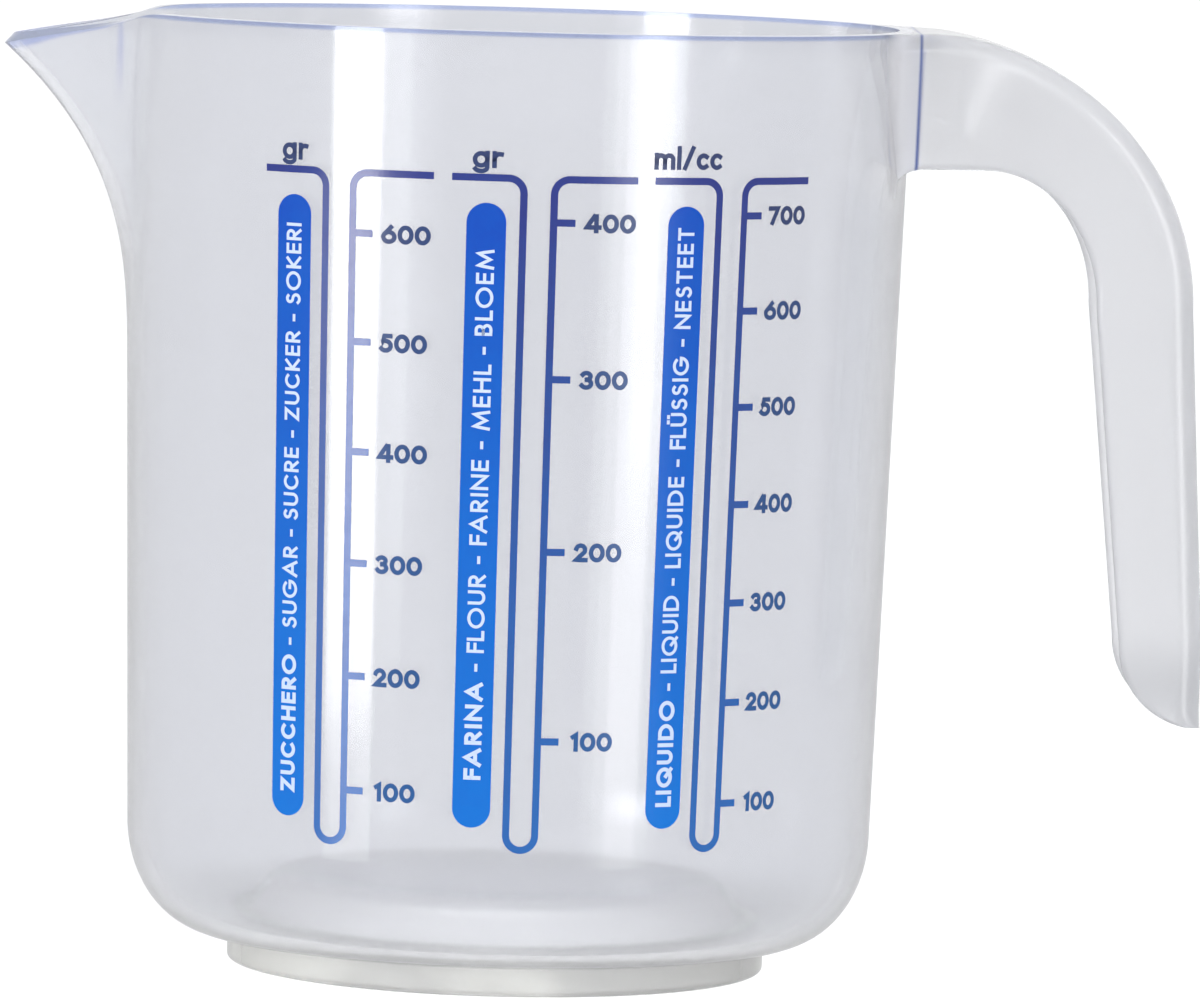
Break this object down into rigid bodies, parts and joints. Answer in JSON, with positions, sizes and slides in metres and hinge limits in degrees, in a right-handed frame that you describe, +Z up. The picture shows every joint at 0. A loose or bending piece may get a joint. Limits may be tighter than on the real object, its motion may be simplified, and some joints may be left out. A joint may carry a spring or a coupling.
{
  "type": "measuring jug",
  "caption": "Clear plastic kitchen measuring jug with pouring spout, open hook handle, raised foot ring and printed volume scales.",
  "frame": {"origin": "centre of the bounding box's bottom face, level with the underside of the foot ring", "axes": "+X towards the handle and -X towards the spout, -Y towards the printed front, +Z up out of the mouth"},
  "size_m": [0.1644, 0.1066, 0.1287],
  "materials": {
    "clear_plastic": "clear moulded plastic, slightly frosted, faintly blue at the edges",
    "blue_ink": "screen-printed blue ink"
  },
  "bodies": {
    "root": {"jug_body": "clear_plastic", "foot_ring": "clear_plastic", "handle": "clear_plastic", "sugar_scale_line": "blue_ink", "sugar_name_band": "blue_ink", "flour_scale_line": "blue_ink", "flour_name_band": "blue_ink", "liquid_scale_line": "blue_ink", "liquid_name_band": "blue_ink"}
  },
  "joints": []
}
